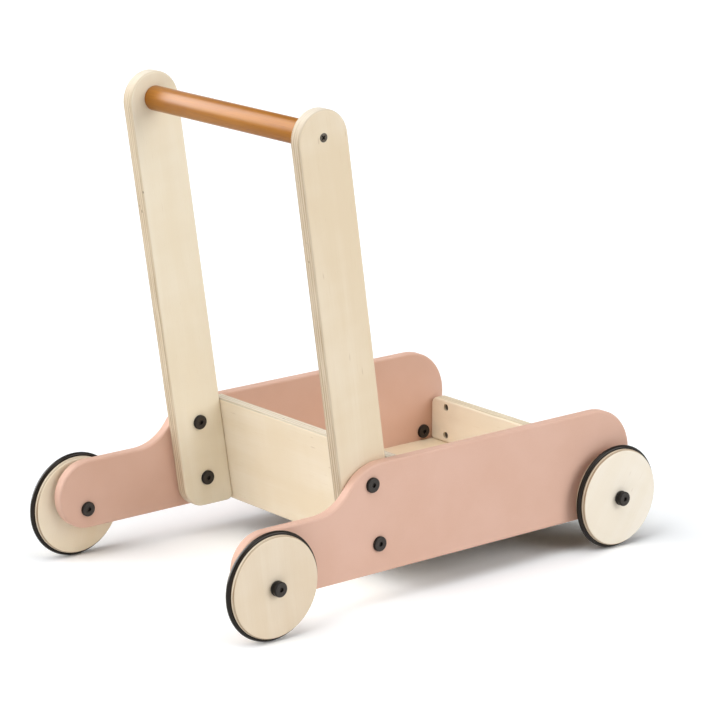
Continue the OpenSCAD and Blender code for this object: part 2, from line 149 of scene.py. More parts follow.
# Each board's place in its veneer, its faces' pale and deep tones,
# and its edges' long-grain and end-grain tones
WOOD_LOOKS = {
    "left_post": (3.1, "#f3ead6", "#ede1c8", "#dccbae", "#bfa585"),
    "right_post": (8.8, "#ebddc6", "#e3d1b4", "#cfbea4", "#ae9474"),
    "rear_panel": (41.7, "#f4e8d3", "#ecdcc0", "#ebe2d2", "#dccdb3"),
    "front_panel": (55.2, "#faf1e0", "#f4e9d5", "#e6d9bf", "#cbb897"),
    "tray_floor": (63.9, "#eadbc1", "#e2cfb0", "#e2d2b4", "#c8b290"),
    "dowels": (77.0, "#f4e8d3", "#ecdcc0", "#ebdabf", "#dec8a6"),
    "rear_left_disc": (20.0, "#f4e8d2", "#edddc0", "#e9dcc4", "#8f6b48"),
    "rear_right_disc": (27.3, "#e6d8c3", "#deccb2", "#e6d8bf", "#8f6b48"),
    "front_left_disc": (34.6, "#f4e8d2", "#edddc0", "#e9dcc4", "#8f6b48"),
    "front_right_disc": (41.9, "#f6efe3", "#f0e6d4", "#e9dcc4", "#8f6b48"),
}
BIRCH_BUMP = 0.12 * MM
BIRCH_BUMP_STRENGTH = 0.3
BIRCH_SHINE = 0.2

# Turn of each disc's grain from upright, in radians
DISC_GRAIN = {"rear_left": 0.25, "rear_right": -0.12, "front_left": 1.9, "front_right": 0.6}

# Dark seam at a butted board's ends, partly its glue line and partly painted shade of the gap: how far in
# it starts to fade and is gone, and its share
JOINT_SHADE_FADE = (0.2 * MM, 0.9 * MM)
JOINT_SHADE_SHARE = 0.65

# Stain of the push bar
STAIN_DEEP = "#965b12"
STAIN_PALE = "#ac6f1c"
STAIN_PORE = "#6f3c10"
STAIN_BUMP = 0.1 * MM
STAIN_BUMP_STRENGTH = 0.3
STAIN_SHINE = 0.25

# Tones of the painted sheen on the bolts' flat faces and of the painted shade in the bar screws' recesses
FACE_SHEEN_TONE = "#37322e"
RECESS_SHADE_TONE = "#0d0b09"

# Floor: half its width, its two tones for the light it throws back, and its tone where it is seen itself
FLOOR_HALF = 30.0
FLOOR_TONES = ((0.945, 0.945, 0.94, 1), (0.955, 0.955, 0.95, 1))
SEEN_FLOOR_TONE = (1.065, 1.09, 1.115, 1)

# Softboxes: degrees round from +X and degrees up that the light comes from,
# its strength and its spread in degrees
SOFTBOXES = {
    "left": (172, 45, 1.60, 50),
    "far_left": (133, 24, 0.82, 45),
    "right": (-60, 23, 1.60, 45),
    "top": (-120, 75, 1.06, 45),
    "front": (60, 75, 0.31, 45),
}

# Bright panel that shows only as a reflection: where from, how strong, and its soft edge in degrees
GLINT_FROM = (121, 31)
GLINT = 9.0
GLINT_EDGE = (40, 15)

# Studio around it: white up to the first height, fading to the ceiling's level at the second
STUDIO_FADE = (0.12, 0.55)
CEILING = 0.2

# Camera
CAMERA_AT = Vector((-1.7487, -2.1300, 0.9272))
CAMERA_YAW = math.radians(50.363)
CAMERA_DIP = math.radians(15.030)
CAMERA_ROLL = math.radians(0.291)
CAMERA_LENS = 152.31
CAMERA_SENSOR = 36
CAMERA_REACH = 200


def tone(code):
    """Linear colour of an sRGB code such as #ead9bb."""
    parts = [int(code[i:i + 2], 16) / 255 for i in (1, 3, 5)]
    return tuple(c / 12.92 if c <= 0.04045 else ((c + 0.055) / 1.055) ** 2.4 for c in parts) + (1.0,)


# Node helpers

def join(tree, value, socket):
    """Links an output to a socket, or sets the socket to a plain value."""
    if isinstance(value, bpy.types.NodeSocket):
        tree.links.new(value, socket)
    else:
        socket.default_value = value


def place_node(tree, kind, values=None, **settings):
    made = tree.nodes.new(kind)
    for key, value in settings.items():
        setattr(made, key, value)
    for key, value in (values or {}).items():
        join(tree, value, made.inputs[key])
    return made


def reckon(tree, operation, *values):
    made = tree.nodes.new("ShaderNodeMath")
    made.operation = operation
    for socket, value in zip(made.inputs, values):
        join(tree, value, socket)
    return made.outputs[0]


def ramp(tree, value, low, high, first=0.0, last=1.0):
    """Smooth step from first to last while value goes from low to high."""
    made = place_node(
        tree, "ShaderNodeMapRange",
        {"Value": value, "From Min": low, "From Max": high, "To Min": first, "To Max": last},
        interpolation_type="SMOOTHSTEP",
    )
    return made.outputs["Result"]


def tint(tree, share, first, second, kind="MIX"):
    made = place_node(
        tree, "ShaderNodeMix", {0: share, 6: first, 7: second}, data_type="RGBA", blend_type=kind,
    )
    return made.outputs[2]


def vector_of(tree, x, y, z):
    return place_node(tree, "ShaderNodeCombineXYZ", {"X": x, "Y": y, "Z": z}).outputs[0]


def parts_of(tree, vector):
    return place_node(tree, "ShaderNodeSeparateXYZ", {"Vector": vector}).outputs


def noise(tree, vector, scale=1.0, detail=2.0, rough=0.5, twist=0.0):
    made = place_node(
        tree, "ShaderNodeTexNoise",
        {"Vector": vector, "Scale": scale, "Detail": detail, "Roughness": rough, "Distortion": twist},
    )
    return made.outputs[0]


def new_group(name, takes, gives):
    tree = bpy.data.node_groups.new(name, "ShaderNodeTree")
    for socket, kind in takes:
        tree.interface.new_socket(name=socket, in_out="INPUT", socket_type=kind)
    for socket, kind in gives:
        tree.interface.new_socket(name=socket, in_out="OUTPUT", socket_type=kind)
    return tree, tree.nodes.new("NodeGroupInput").outputs, tree.nodes.new("NodeGroupOutput").inputs


VECTOR, FLOAT, COLOUR = "NodeSocketVector", "NodeSocketFloat", "NodeSocketColor"
SKIN = (("Colour", COLOUR), ("Roughness", FLOAT), ("Relief", FLOAT))


# Finishes

def make_birch_layers():
    """Birch plywood all the way through: grain on its faces, and layers, glue lines and voids on its edges.

    Place has X along the face grain, Y across it and Z through the thickness. Scales are per metre.
    """
    tree, takes, gives = new_group(
        "birch_layers",
        (("Place", VECTOR), ("Facing", VECTOR), ("Thickness", FLOAT), ("Plies", FLOAT), ("Shift", FLOAT),
         ("Banded", FLOAT), ("Pale", COLOUR), ("Deep", COLOUR), ("Long", COLOUR), ("End", COLOUR)),
        SKIN,
    )
    shift = takes["Shift"]
    x, y, z = parts_of(tree, takes["Place"])
    face_x, face_y, face_z = (
        reckon(tree, "POWER", reckon(tree, "ABSOLUTE", part), 2.0)
        for part in parts_of(tree, takes["Facing"])
    )

    def grown(value, times):
        return reckon(tree, "MULTIPLY", value, times)

    def added(value, times, rest):
        return reckon(tree, "MULTIPLY_ADD", value, times, rest)

    def field(per_x, per_y, third, **kind):
        return noise(tree, vector_of(tree, grown(x, per_x), grown(y, per_y), third), **kind)

    # Veneer of the faces
    figure = field(4.0, 42.0, shift, detail=2.0, twist=0.8)
    fine = field(22.0, 900.0, shift, detail=2.0, rough=0.6)
    cloud = field(11.0, 15.0, shift, detail=2.0)
    ripple = field(75.0, 17.0, shift, detail=1.0)
    pores = ramp(tree, field(60.0, 800.0, shift, detail=1.0), 0.66, 0.8)
    fleck = ramp(tree, field(60.0, 330.0, shift, detail=0.0), 0.82, 0.88)
    grain = added(figure, 0.28, grown(fine, 0.1))
    grain = added(ripple, 0.1, grain)
    grain = ramp(tree, added(cloud, 0.45, grain), 0.34, 0.66)
    veneer = tint(tree, grain, takes["Deep"], takes["Pale"])
    veneer = tint(tree, grown(pores, 0.1), veneer, tone(PORE_TONE))
    veneer = tint(tree, grown(fleck, 0.25), veneer, tone(FLECK_TONE))

    # Layers that show on the edges, with their grain crossed in turn
    depth = reckon(tree, "DIVIDE", z, takes["Thickness"])
    depth = reckon(tree, "MINIMUM", reckon(tree, "MAXIMUM", depth, 0.002), 0.998)
    depth = grown(depth, takes["Plies"])
    layer = reckon(tree, "FLOOR", depth)
    inside = reckon(tree, "FRACT", depth)
    crossed = reckon(tree, "MODULO", layer, 2.0)
    edge = reckon(tree, "SUBTRACT", 1.0, face_z)
    end = added(crossed, reckon(tree, "SUBTRACT", face_y, face_x), face_x)
    end = reckon(tree, "DIVIDE", end, reckon(tree, "MAXIMUM", edge, 0.05))
    end = grown(end, added(face_x, -0.65, 1.0))
    end = added(reckon(tree, "SUBTRACT", crossed, end), takes["Banded"], end)
    slow = field(13.0, 13.0, added(layer, 3.7, shift), detail=2.0)
    fibre = field(34.0, 34.0, grown(z, 2100.0), detail=2.0, rough=0.6)
    mottle = noise(tree, takes["Place"], scale=1300.0, detail=2.0, rough=0.7)
    end_share = grown(end, ramp(tree, slow, 0.3, 0.7, 0.5, 1.0))
    layers = tint(tree, end_share, takes["Long"], takes["End"])
    # Ends along the grain drawn paler, top and bottom alike: a painted highlight
    end_highlight = grown(reckon(tree, "SUBTRACT", 1.0, takes["Banded"]), grown(face_x, 0.6))
    layers = tint(tree, end_highlight, layers, tone(END_HIGHLIGHT_TONE))
    layers = tint(tree, ramp(tree, fibre, 0.32, 0.7, 0.0, 0.34), layers, tone(FIBRE_TONE))
    mottled = grown(ramp(tree, mottle, 0.45, 0.75), grown(end, 0.22))
    layers = tint(tree, mottled, layers, tone(MOTTLE_TONE))

    # Broken glue lines between the layers, filled spots and open voids
    line = reckon(tree, "FLOOR", reckon(tree, "ADD", depth, 0.5))
    from_line = reckon(tree, "ABSOLUTE", reckon(tree, "SUBTRACT", depth, line))
    from_line = reckon(tree, "DIVIDE", grown(from_line, takes["Thickness"]), takes["Plies"])
    broken = field(15.0, 15.0, added(line, 5.3, shift), detail=2.0, rough=0.6)
    glue = ramp(tree, from_line, 0.1 * MM, 0.3 * MM, 1.0, 0.0)
    glue = grown(glue, ramp(tree, broken, 0.46, 0.7, 0.05, 0.75))
    gap = ramp(tree, field(75.0, 75.0, added(layer, 8.1, shift), detail=1.0), 0.76, 0.8)
    from_middle = reckon(tree, "ABSOLUTE", reckon(tree, "SUBTRACT", inside, 0.5))
    gap = grown(gap, ramp(tree, from_middle, 0.2, 0.42, 1.0, 0.0))
    filled = field(48.0, 48.0, added(layer, 2.9, shift), detail=1.0)
    layers = tint(tree, ramp(tree, filled, 0.7, 0.78, 0.0, 0.4), layers, tone(FILLER_TONE))
    layers = tint(tree, glue, layers, tone(GLUE_TONE))
    layers = tint(tree, grown(gap, 0.85), layers, tone(GAP_TONE))

    on_edge = ramp(tree, edge, 0.12, 0.5)
    join(tree, tint(tree, on_edge, veneer, layers), gives["Colour"])
    rough = added(fine, 0.14, 0.46)
    rough = added(grown(end, on_edge), 0.14, rough)
    join(tree, rough, gives["Roughness"])
    relief = added(figure, 0.3, grown(fine, 0.25))
    relief = added(pores, -0.3, relief)
    sunk = added(gap, 1.6, grown(glue, 0.5))
    relief = added(grown(sunk, on_edge), -1.0, relief)
    join(tree, relief, gives["Relief"])
    return tree


def make_paint_film():
    """Rolled matt paint: a faint cloud in the tone and a fine stipple. Scales are per metre."""
    tree, takes, gives = new_group(
        "paint_film",
        (("Place", VECTOR), ("Deep", COLOUR), ("Pale", COLOUR), ("Stipple", FLOAT), ("Matt", FLOAT)),
        SKIN,
    )
    cloud = noise(tree, takes["Place"], scale=14.0, detail=3.0, rough=0.6)
    stipple = noise(tree, takes["Place"], scale=takes["Stipple"], detail=3.0, rough=0.55)
    peel = noise(tree, takes["Place"], scale=reckon(tree, "MULTIPLY", takes["Stipple"], 0.3), detail=1.0)
    shade = reckon(tree, "MULTIPLY_ADD", stipple, 0.3, reckon(tree, "MULTIPLY", cloud, 0.7))
    join(tree, tint(tree, ramp(tree, shade, 0.32, 0.68), takes["Deep"], takes["Pale"]), gives["Colour"])
    join(tree, reckon(tree, "MULTIPLY_ADD", stipple, 0.14, takes["Matt"]), gives["Roughness"])
    relief = reckon(tree, "MULTIPLY_ADD", peel, 0.6, reckon(tree, "MULTIPLY", stipple, 0.4))
    join(tree, relief, gives["Relief"])
    return tree


def make_stain_streaks():
    """Turned wood with a caramel stain: darker pores and streaks along Y. Scales are per metre."""
    tree, takes, gives = new_group("stain_streaks", (("Place", VECTOR),), SKIN)
    x, y, z = parts_of(tree, takes["Place"])

    def grown(value, times):
        return reckon(tree, "MULTIPLY", value, times)

    def drawn_out(per_round, per_long, **kind):
        vector = vector_of(tree, grown(x, per_round), grown(y, per_long), grown(z, per_round))
        return noise(tree, vector, **kind)

    broad = drawn_out(90.0, 7.0, detail=3.0, rough=0.6, twist=0.5)
    thread = drawn_out(900.0, 22.0, detail=2.0, rough=0.6)
    pores = ramp(tree, drawn_out(1300.0, 60.0, detail=1.0), 0.62, 0.78)
    cloud = noise(tree, takes["Place"], scale=16.0, detail=2.0)
    shade = reckon(tree, "MULTIPLY_ADD", broad, 0.5, grown(thread, 0.25))
    shade = ramp(tree, reckon(tree, "MULTIPLY_ADD", cloud, 0.25, shade), 0.34, 0.66)
    colour = tint(tree, shade, tone(STAIN_DEEP), tone(STAIN_PALE))
    colour = tint(tree, grown(pores, 0.4), colour, tone(STAIN_PORE))
    join(tree, colour, gives["Colour"])
    join(tree, reckon(tree, "MULTIPLY_ADD", thread, 0.14, 0.27), gives["Roughness"])
    join(tree, reckon(tree, "MULTIPLY_ADD", pores, -0.5, grown(thread, 0.4)), gives["Relief"])
    return tree


def new_material(name):
    material = bpy.data.materials.new(name)
    material.use_nodes = True
    tree = material.node_tree
    shader = tree.nodes["Principled BSDF"]
    return material, tree, shader


def wear_skin(tree, shader, skin, bump_depth, bump_strength):
    """Feeds a finish's colour, roughness and relief to the shader."""
    join(tree, skin.outputs["Colour"], shader.inputs["Base Color"])
    join(tree, skin.outputs["Roughness"], shader.inputs["Roughness"])
    bump = place_node(
        tree, "ShaderNodeBump",
        {"Height": skin.outputs["Relief"], "Strength": bump_strength, "Distance": bump_depth},
    )
    join(tree, bump.outputs[0], shader.inputs["Normal"])


def group_node(tree, group, values):
    made = tree.nodes.new("ShaderNodeGroup")
    made.node_tree = group
    for key, value in values.items():
        join(tree, value, made.inputs[key])
    return made


birch_layers = make_birch_layers()
paint_film = make_paint_film()
stain_streaks = make_stain_streaks()


def birch_ply(name, look, along, through, corner, thickness, plies, butted=0.0, banded=0.0, back=None):
    """Plywood of one board. Its faces' grain runs along one axis and its layers lie across another.

    A board that is butted between two others gets a thin dark seam at its ends, butted apart, on its low
    side:
    partly its glue line and partly painted shade of the gap. Its rounded edge on that side is painted
    darker
    than its face: painted shade that dims the highlight there.
    A banded board shows its crossed layers dark all round.
    A back tone darkens and cools the face on the layers' low side: painted shade that deepens the shadow
    beneath.
    """
    material, tree, shader = new_material(name)
    turn = Matrix((along, through.cross(along), through))
    angles = turn.to_euler("XYZ")
    spot = tree.nodes.new("ShaderNodeTexCoord").outputs
    place = place_node(
        tree, "ShaderNodeMapping",
        {"Vector": spot["Object"], "Location": -(turn @ corner), "Rotation": angles},
    ).outputs[0]
    facing = place_node(
        tree, "ShaderNodeMapping", {"Vector": spot["Normal"], "Rotation": angles}, vector_type="VECTOR",
    ).outputs[0]
    shift, pale, deep, long_grain, end_grain = WOOD_LOOKS[look]
    skin = group_node(tree, birch_layers, {
        "Place": place, "Facing": facing,
        "Thickness": thickness, "Plies": plies, "Shift": shift, "Banded": banded,
        "Pale": tone(pale), "Deep": tone(deep), "Long": tone(long_grain), "End": tone(end_grain),
    })
    wear_skin(tree, shader, skin, BIRCH_BUMP, BIRCH_BUMP_STRENGTH)
    shader.inputs["Specular IOR Level"].default_value = BIRCH_SHINE
    if butted or back:
        facing_through = parts_of(tree, facing)[2]
        low_side = ramp(tree, facing_through, -0.9, -0.5, 1.0, 0.0)
    if butted:
        from_end = parts_of(tree, place)[0]
        from_end = reckon(tree, "MINIMUM", from_end, reckon(tree, "SUBTRACT", butted, from_end))
        # Dark seam at the ends on the low side: glue line and painted shade of the gap
        joint_shade = ramp(tree, from_end, *JOINT_SHADE_FADE, JOINT_SHADE_SHARE, 0.0)
        joint_shade = reckon(tree, "MULTIPLY", joint_shade, low_side)
        colour = tint(tree, joint_shade, skin.outputs["Colour"], tone(JOINT_SHADE_TONE))
        # Rounded edge on the low side darkened: painted shade that dims the highlight there
        edge_shade = ramp(tree, facing_through, -0.97, -0.75)
        edge_shade = reckon(tree, "MULTIPLY", edge_shade, ramp(tree, facing_through, -0.45, -0.1, 1.0, 0.0))
        colour = tint(tree, edge_shade, colour, tone(EDGE_SHADE_TONE), "MULTIPLY")
        join(tree, colour, shader.inputs["Base Color"])
    if back:
        # Underside darkened and cooled: painted shade that deepens the shadow beneath
        colour = tint(tree, low_side, skin.outputs["Colour"], tone(back), "MULTIPLY")
        join(tree, colour, shader.inputs["Base Color"])
    return material


def painted(name, deep, pale, stipple, matt, bump_depth, bump_strength, shine):
    material, tree, shader = new_material(name)
    spot = tree.nodes.new("ShaderNodeTexCoord").outputs
    skin = group_node(tree, paint_film, {
        "Place": spot["Object"], "Deep": tone(deep), "Pale": tone(pale), "Stipple": stipple, "Matt": matt,
    })
    wear_skin(tree, shader, skin, bump_depth, bump_strength)
    shader.inputs["Specular IOR Level"].default_value = shine
    return material


def stained(name):
    material, tree, shader = new_material(name)
    spot = tree.nodes.new("ShaderNodeTexCoord").outputs
    skin = group_node(tree, stain_streaks, {"Place": spot["Object"]})
    wear_skin(tree, shader, skin, STAIN_BUMP, STAIN_BUMP_STRENGTH)
    shader.inputs["Specular IOR Level"].default_value = STAIN_SHINE
    return material


def tint_where(material, mask_of, code):
    """Tints a material by a mask that is made from its texture coordinates."""
    tree = material.node_tree
    mask = mask_of(tree, tree.nodes.new("ShaderNodeTexCoord").outputs)
    socket = tree.nodes["Principled BSDF"].inputs["Base Color"]
    join(tree, tint(tree, mask, socket.links[0].from_socket, tone(code)), socket)


def sheen_faces(tree, spot):
    """Mask of what faces along Y: the heads' flat faces, not their rims and shanks, where a lighter sheen
    is painted.
    """
    return ramp(tree, reckon(tree, "ABSOLUTE", parts_of(tree, spot["Normal"])[1]), 0.9, 0.99)


def screw_recess_shade(tree, spot):
    """Mask of what lies below the outer faces of the bar screws, on both sides: their recesses, painted
    dark for their shade.
    """
    low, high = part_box("bar_screws")
    outward = reckon(tree, "ABSOLUTE", parts_of(tree, spot["Object"])[1])
    depth = reckon(tree, "SUBTRACT", max(high.y, -low.y), outward)
    return ramp(tree, depth, 0.1 * MM, 0.5 * MM)


pink_paint = painted(
    "pink_paint", "#d8b09c", "#ddb7a5", stipple=1400.0, matt=0.44,
    bump_depth=0.12 * MM, bump_strength=0.15, shine=0.15,
)
black_coat = painted(
    "black_coat", "#171310", "#211c18", stipple=2600.0, matt=0.22,
    bump_depth=0.05 * MM, bump_strength=0.2, shine=0.22,
)
black_nylon = painted(
    "black_nylon", "#15120f", "#1e1a17", stipple=1800.0, matt=0.22,
    bump_depth=0.05 * MM, bump_strength=0.2, shine=0.3,
)
dark_screw = painted(
    "dark_screw", "#3f362c", "#5a4e3f", stipple=2200.0, matt=0.3,
    bump_depth=0.04 * MM, bump_strength=0.3, shine=0.5,
)
dark_nut = painted(
    "dark_nut", "#4a4238", "#6e6558", stipple=2200.0, matt=0.4,
    bump_depth=0.04 * MM, bump_strength=0.3, shine=0.5,
)
black_rubber = painted(
    "black_rubber", "#1b1610", "#251e17", stipple=1100.0, matt=0.12,
    bump_depth=0.06 * MM, bump_strength=0.08, shine=0.2,
)
caramel_stain = stained("caramel_stain")
# Painted sheen on the bolts' flat faces, and painted shade in the bar screws' recesses
tint_where(black_coat, sheen_faces, FACE_SHEEN_TONE)
tint_where(dark_screw, screw_recess_shade, RECESS_SHADE_TONE)


# Shapes

def new_piece(name, bm, material, body, slot, *stands_for):
    """Turns a bmesh into a finished piece that rides on a body and stands for CAD nodes."""
    bmesh.ops.remove_doubles(bm, verts=bm.verts, dist=WELD)
    bmesh.ops.recalc_face_normals(bm, faces=bm.faces)
    mesh = bpy.data.meshes.new(name)
    bm.to_mesh(mesh)
    bm.free()
    mesh.materials.append(material)
    mesh.shade_smooth()
    mesh.set_sharp_from_angle(angle=SHARP_FROM)
    piece = bpy.data.objects.new(name, mesh)
    bpy.context.scene.collection.objects.link(piece)
    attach(piece, body)
    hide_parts(*stands_for)


def centre_of(node):
    low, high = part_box(node)
    return (low + high) / 2


def reach_of(node):
    """Distances of a node's inner and outer end from the middle plane."""
    low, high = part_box(node)
    return sorted((abs(low.y), abs(high.y)))


def round_edges(bm, edges, radius, segments):
    bmesh.ops.bevel(
        bm, geom=edges, offset=radius, offset_type="OFFSET", segments=segments, profile=0.5,
        affect="EDGES", material=-1, clamp_overlap=True,
    )


def ring_edges(bm, middle, radius, y):
    """Edges of the round loop at a radius from the axle line and a place along it."""
    def on_loop(v):
        off = v.co - middle
        return abs(off.y - y) < TOUCH and abs(math.hypot(off.x, off.z) - radius) < TOUCH
    return [e for e in bm.edges if all(on_loop(v) for v in e.verts)]


def turned_ring(section, middle, steps):
    """Closed ring around the axle line through middle, from a section of [radius, place along Y]."""
    bm = bmesh.new()
    verts = [bm.verts.new(middle + Vector((r, y, 0))) for r, y in section]
    edges = [bm.edges.new((a, b)) for a, b in zip(verts, verts[1:] + verts[:1])]
    bmesh.ops.spin(
        bm, geom=verts + edges, cent=middle, axis=AXIS_Y, angle=FULL_TURN, steps=steps, use_merge=True,
    )
    return bm


def wheel_disc(corner, material):
    node = f"{corner}_wheel_disc"
    middle = centre_of(node)
    half, groove = DISC_T / 2, GROOVE_W / 2
    bm = turned_ring(
        [(DISC_BORE_R, -half), (DISC_R, -half), (DISC_R, -groove), (GROOVE_BED_R, -groove),
         (GROOVE_BED_R, groove), (DISC_R, groove), (DISC_R, half), (DISC_BORE_R, half)],
        middle, WHEEL_STEPS,
    )
    rims = [e for y in (-half, half) for e in ring_edges(bm, middle, DISC_R, y)]
    beds = [e for y in (-groove, groove) for e in ring_edges(bm, middle, GROOVE_BED_R, y)]
    round_edges(bm, rims, DISC_EDGE_R, segments=6)
    round_edges(bm, beds, GROOVE_ROUND, segments=6)
    new_piece(f"{corner}_disc", bm, material, f"{corner}_wheel", "birch_ply", node)


def wheel_tyre(corner):
    """Round rubber cord with a fine mould line along its crown."""
    node = f"{corner}_wheel_tyre"
    middle = centre_of(node)
    bm = bmesh.new()
    bmesh.ops.create_circle(
        bm, cap_ends=False, segments=TYRE_STEPS, radius=TYRE_R,
        matrix=Matrix.Translation(middle + Vector((TYRE_RING_R, 0, 0))),
    )
    crown = max(bm.verts, key=lambda v: v.co.x)
    crown.co.x -= MOULD_LINE
    bmesh.ops.spin(
        bm, geom=bm.verts[:] + bm.edges[:], cent=middle, axis=AXIS_Y, angle=FULL_TURN,
        steps=WHEEL_STEPS, use_merge=True,
    )
    new_piece(f"{corner}_tyre", bm, black_rubber, f"{corner}_wheel", "black_rubber", node)


def drawn_loop(bm, edges, move=(0, 0, 0), grow=1.0):
    """Extrudes a loop of edges, then moves and grows it about its own axis along Z."""
    made = bmesh.ops.extrude_edge_only(bm, edges=edges)["geom"]
    verts = [g for g in made if isinstance(g, bmesh.types.BMVert)]
    drawn = set(verts)
    bmesh.ops.scale(bm, vec=(grow, grow, 1), verts=verts)
    bmesh.ops.translate(bm, vec=move, verts=verts)
    return [g for g in made if isinstance(g, bmesh.types.BMEdge) and drawn.issuperset(g.verts)]


def close_loop(bm, edges):
    bmesh.ops.edgeloop_fill(bm, edges=edges)


def loop_of(bm, segments, radius, height):
    """Edges of a new round loop across Z."""
    verts = bmesh.ops.create_circle(
        bm, cap_ends=False, segments=segments, radius=radius, matrix=Matrix.Translation((0, 0, height)),
    )["verts"]
    return list(dict.fromkeys(e for v in verts for e in v.link_edges))


def socket_head(bm, thickness, shank_r, shank_l, edge_r):
    """Flat round head on z = 0 with a hex socket, a lip around it, a rounded rim and a shank below."""
    sides = loop_of(bm, SOCKET_SIDES, SOCKET_R, thickness)
    bmesh.ops.subdivide_edges(bm, edges=sides, cuts=ROUND_STEPS // SOCKET_SIDES - 1)
    hexagon = bm.edges[:]
    rim = loop_of(bm, ROUND_STEPS, HEAD_R, thickness)
    bmesh.ops.bridge_loops(bm, edges=hexagon + rim)
    bed = drawn_loop(bm, hexagon, (0, 0, -SOCKET_DEPTH))
    close_loop(bm, bed)
    skirt = drawn_loop(bm, rim, (0, 0, -thickness))
    neck = drawn_loop(bm, skirt, grow=shank_r / HEAD_R)
    tip = drawn_loop(bm, neck, (0, 0, -shank_l))
    close_loop(bm, tip)
    round_edges(bm, rim, edge_r, segments=5)
    round_edges(bm, hexagon, SOCKET_LIP, segments=2)


def screw_head(bm):
    """Countersunk head below z = 0 with a tapered cross recess, and its shank and point."""
    bmesh.ops.create_grid(bm, x_segments=3, y_segments=3, size=CROSS_REACH / 2)
    for axis in (0, 1):
        for v in bm.verts:
            if abs(v.co[axis]) < CROSS_REACH / 3:
                v.co[axis] = math.copysign(CROSS_ARM / 2, v.co[axis])
    corners = [f for f in bm.faces if min(abs(c) for c in f.calc_center_median()[:2]) > CROSS_ARM / 2]
    bmesh.ops.delete(bm, geom=corners, context="FACES")
    bmesh.ops.delete(bm, geom=bm.faces[:], context="FACES_ONLY")
    inner = [e for e in bm.edges if all(max(abs(c) for c in v.co[:2]) < CROSS_ARM for v in e.verts)]
    bmesh.ops.delete(bm, geom=inner, context="EDGES")
    bmesh.ops.subdivide_edges(bm, edges=bm.edges[:], cuts=CROSS_CUTS)
    cross = bm.edges[:]
    rim = loop_of(bm, ROUND_STEPS, SCREW_HEAD_R, 0)
    bmesh.ops.bridge_loops(bm, edges=cross + rim)
    bed = drawn_loop(bm, cross, (0, 0, -CROSS_DEPTH), grow=CROSS_TAPER)
    close_loop(bm, bed)
    sunk = SCREW_HEAD_R - SCREW_SHANK_R
    neck = drawn_loop(bm, rim, (0, 0, -sunk), grow=SCREW_SHANK_R / SCREW_HEAD_R)
    shoulder = drawn_loop(bm, neck, (0, 0, sunk - SCREW_L + POINT_L))
    point = drawn_loop(bm, shoulder, (0, 0, -POINT_L), grow=POINT_TAPER)
    close_loop(bm, point)
    round_edges(bm, rim, SCREW_EDGE_R, segments=2)


def add_fastener(bm, part, seat, outward, turn):
    """Adds a fastener made along Z to a bmesh, with its face pointing outward along Y at its seat."""
    facing = Matrix.Rotation(-outward * QUARTER_TURN, 4, "X") @ Matrix.Rotation(turn, 4, "Z")
    bmesh.ops.transform(part, matrix=Matrix.Translation(seat) @ facing, verts=part.verts)
    mesh = bpy.data.meshes.new("part")
    part.to_mesh(mesh)
    part.free()
    bm.from_mesh(mesh)
    bpy.data.meshes.remove(mesh)


def head_at(bm, seat, outward, turn, shank_r, shank_l, thickness=HEAD_T, edge_r=HEAD_EDGE_R):
    part = bmesh.new()
    socket_head(part, thickness, shank_r, shank_l, edge_r)
    add_fastener(bm, part, seat, outward, turn)


def post_bolt_spots(side):
    """Places of the two bolts of a post, upper one first, from the halves of their CAD node."""
    points = [v.co.copy() for v in nodes[f"{side}_post_bolts"].data.vertices]
    middle_z = (min(p.z for p in points) + max(p.z for p in points)) / 2
    for upper in (True, False):
        half = [p for p in points if (p.z > middle_z) == upper]
        yield Vector((
            (min(p.x for p in half) + max(p.x for p in half)) / 2, 0,
            (min(p.z for p in half) + max(p.z for p in half)) / 2,
        ))


def post_bolts_and_nuts(side):
    outward = SIDES[side]
    bolt_in, bolt_out = reach_of(f"{side}_post_bolts")
    nut_in, nut_out = reach_of(f"{side}_post_nuts")
    bolt_seat = outward * (bolt_out - HEAD_T) * AXIS_Y
    nut_seat = outward * (nut_in + HEAD_T) * AXIS_Y
    bolts, nuts = bmesh.new(), bmesh.new()
    for spot, bolt_turn, nut_turn in zip(post_bolt_spots(side), BOLT_TURNS, NUT_TURNS):
        head_at(bolts, spot + bolt_seat, outward, bolt_turn, SHANK_R, bolt_out - bolt_in - HEAD_T)
        head_at(nuts, spot + nut_seat, -outward, nut_turn, SLEEVE_R, nut_out - nut_in - HEAD_T)
    new_piece(f"{side}_post_bolt_heads", bolts, black_coat, "frame", "black_steel", f"{side}_post_bolts")
    new_piece(f"{side}_post_nut_heads", nuts, black_coat, "frame", "black_steel", f"{side}_post_nuts")


def outward_at(corner):
    return SIDES[corner.split("_")[1]]


def axle_heads(corner):
    outward, turn = outward_at(corner), AXLE_TURNS[corner]
    sleeve, bolt = f"{corner}_axle_sleeve", f"{corner}_axle_bolt"
    middle = centre_of(sleeve)
    sleeve_in, sleeve_out = reach_of(sleeve)
    bolt_out = reach_of(bolt)[1]
    seat = Vector((middle.x, outward * (sleeve_in + HEAD_T), middle.z))
    bm = bmesh.new()
    head_at(bm, seat, -outward, turn, AXLE_R, sleeve_out - sleeve_in - HEAD_T)
    new_piece(f"{corner}_axle_tube", bm, black_coat, "frame", "black_steel", sleeve)
    seat = Vector((middle.x, outward * (bolt_out - HUB_HEAD_T), middle.z))
    bm = bmesh.new()
    head_at(bm, seat, outward, turn + HUB_TURN, SHANK_R, AXLE_BOLT_L, HUB_HEAD_T, HUB_EDGE_R)
    new_piece(f"{corner}_hub_bolt", bm, black_coat, "frame", "black_steel", bolt)


